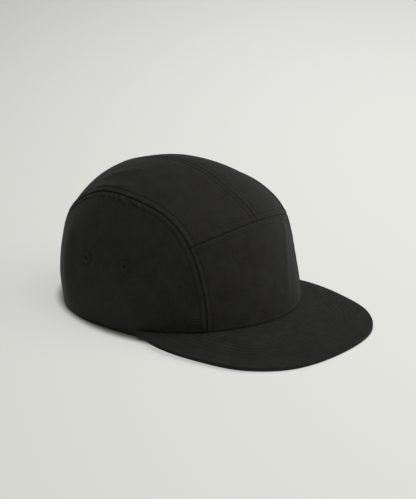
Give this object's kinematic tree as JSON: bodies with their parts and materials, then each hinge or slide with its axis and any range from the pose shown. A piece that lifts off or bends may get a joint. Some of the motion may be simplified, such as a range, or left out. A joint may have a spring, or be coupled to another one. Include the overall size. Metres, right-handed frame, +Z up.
{
  "type": "five panel cap",
  "caption": "Soft black five panel cap with a rounded crown, flat front panel, bowed flat peak, sewn eyelets and a strap across an arch at the back.",
  "frame": {"origin": "under the middle of the cap's box, on the surface that the cap stands on", "axes": "+Z up out of the crown, -Y out over the peak, +Y to the back, -X to the wearer's right"},
  "size_m": [0.1774, 0.267, 0.1171],
  "materials": {
    "crown_cloth": "matte brushed plain weave",
    "peak_cloth": "matte brushed plain weave over a stiff board",
    "sweatband_tape": "matte twill tape",
    "eyelet_thread": "satin stitched thread",
    "strap_webbing": "woven webbing",
    "slide_plastic": "satin moulded plastic"
  },
  "bodies": {
    "root": {"front_panel": "crown_cloth", "top_panel_right": "crown_cloth", "top_panel_left": "crown_cloth", "side_panel_right": "crown_cloth", "side_panel_left": "crown_cloth", "peak": "peak_cloth", "sweatband": "sweatband_tape", "eyelet_right_front": "eyelet_thread", "eyelet_right_rear": "eyelet_thread", "eyelet_left_front": "eyelet_thread", "eyelet_left_rear": "eyelet_thread", "back_strap": "strap_webbing", "strap_slide": "slide_plastic"}
  },
  "joints": []
}
